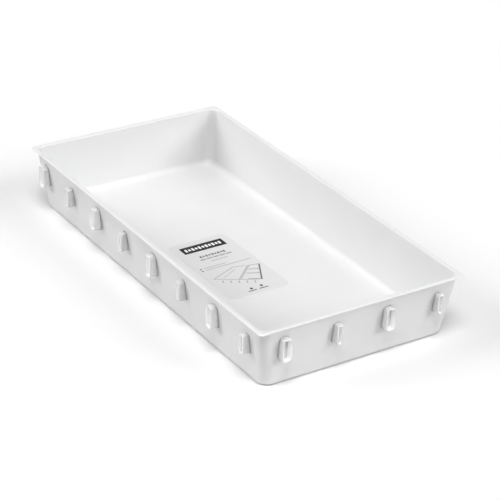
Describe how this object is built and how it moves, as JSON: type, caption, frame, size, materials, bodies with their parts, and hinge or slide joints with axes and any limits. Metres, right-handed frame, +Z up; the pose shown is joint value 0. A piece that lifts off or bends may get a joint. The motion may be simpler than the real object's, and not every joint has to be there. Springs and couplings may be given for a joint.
{
  "type": "interlocking drawer organiser tray",
  "caption": "Shallow open rectangular plastic tray with drafted walls, a thin rim and moulded interlocking clips round its sides, for dividing a drawer.",
  "frame": {"origin": "middle of the base, on the surface the tray stands on", "axes": "+X along the length, +Y across the width, +Z up out of the open top; the front is the long side at -Y"},
  "size_m": [0.3032, 0.1534, 0.0425],
  "materials": {
    "tray_plastic": "white injection-moulded polypropylene, fine satin",
    "label_film": "frosted clear self-adhesive film with dark print"
  },
  "bodies": {
    "root": {"tray_shell": "tray_plastic", "label": "label_film", "right_socket_1": "tray_plastic", "right_plug_1": "tray_plastic", "right_socket_2": "tray_plastic", "right_plug_2": "tray_plastic", "back_socket_1": "tray_plastic", "back_plug_1": "tray_plastic", "back_socket_2": "tray_plastic", "back_plug_2": "tray_plastic", "back_socket_3": "tray_plastic", "back_plug_3": "tray_plastic", "back_socket_4": "tray_plastic", "back_plug_4": "tray_plastic", "left_socket_1": "tray_plastic", "left_plug_1": "tray_plastic", "left_socket_2": "tray_plastic", "left_plug_2": "tray_plastic", "front_socket_1": "tray_plastic", "front_plug_1": "tray_plastic", "front_socket_2": "tray_plastic", "front_plug_2": "tray_plastic", "front_socket_3": "tray_plastic", "front_plug_3": "tray_plastic", "front_socket_4": "tray_plastic", "front_plug_4": "tray_plastic"}
  },
  "joints": []
}
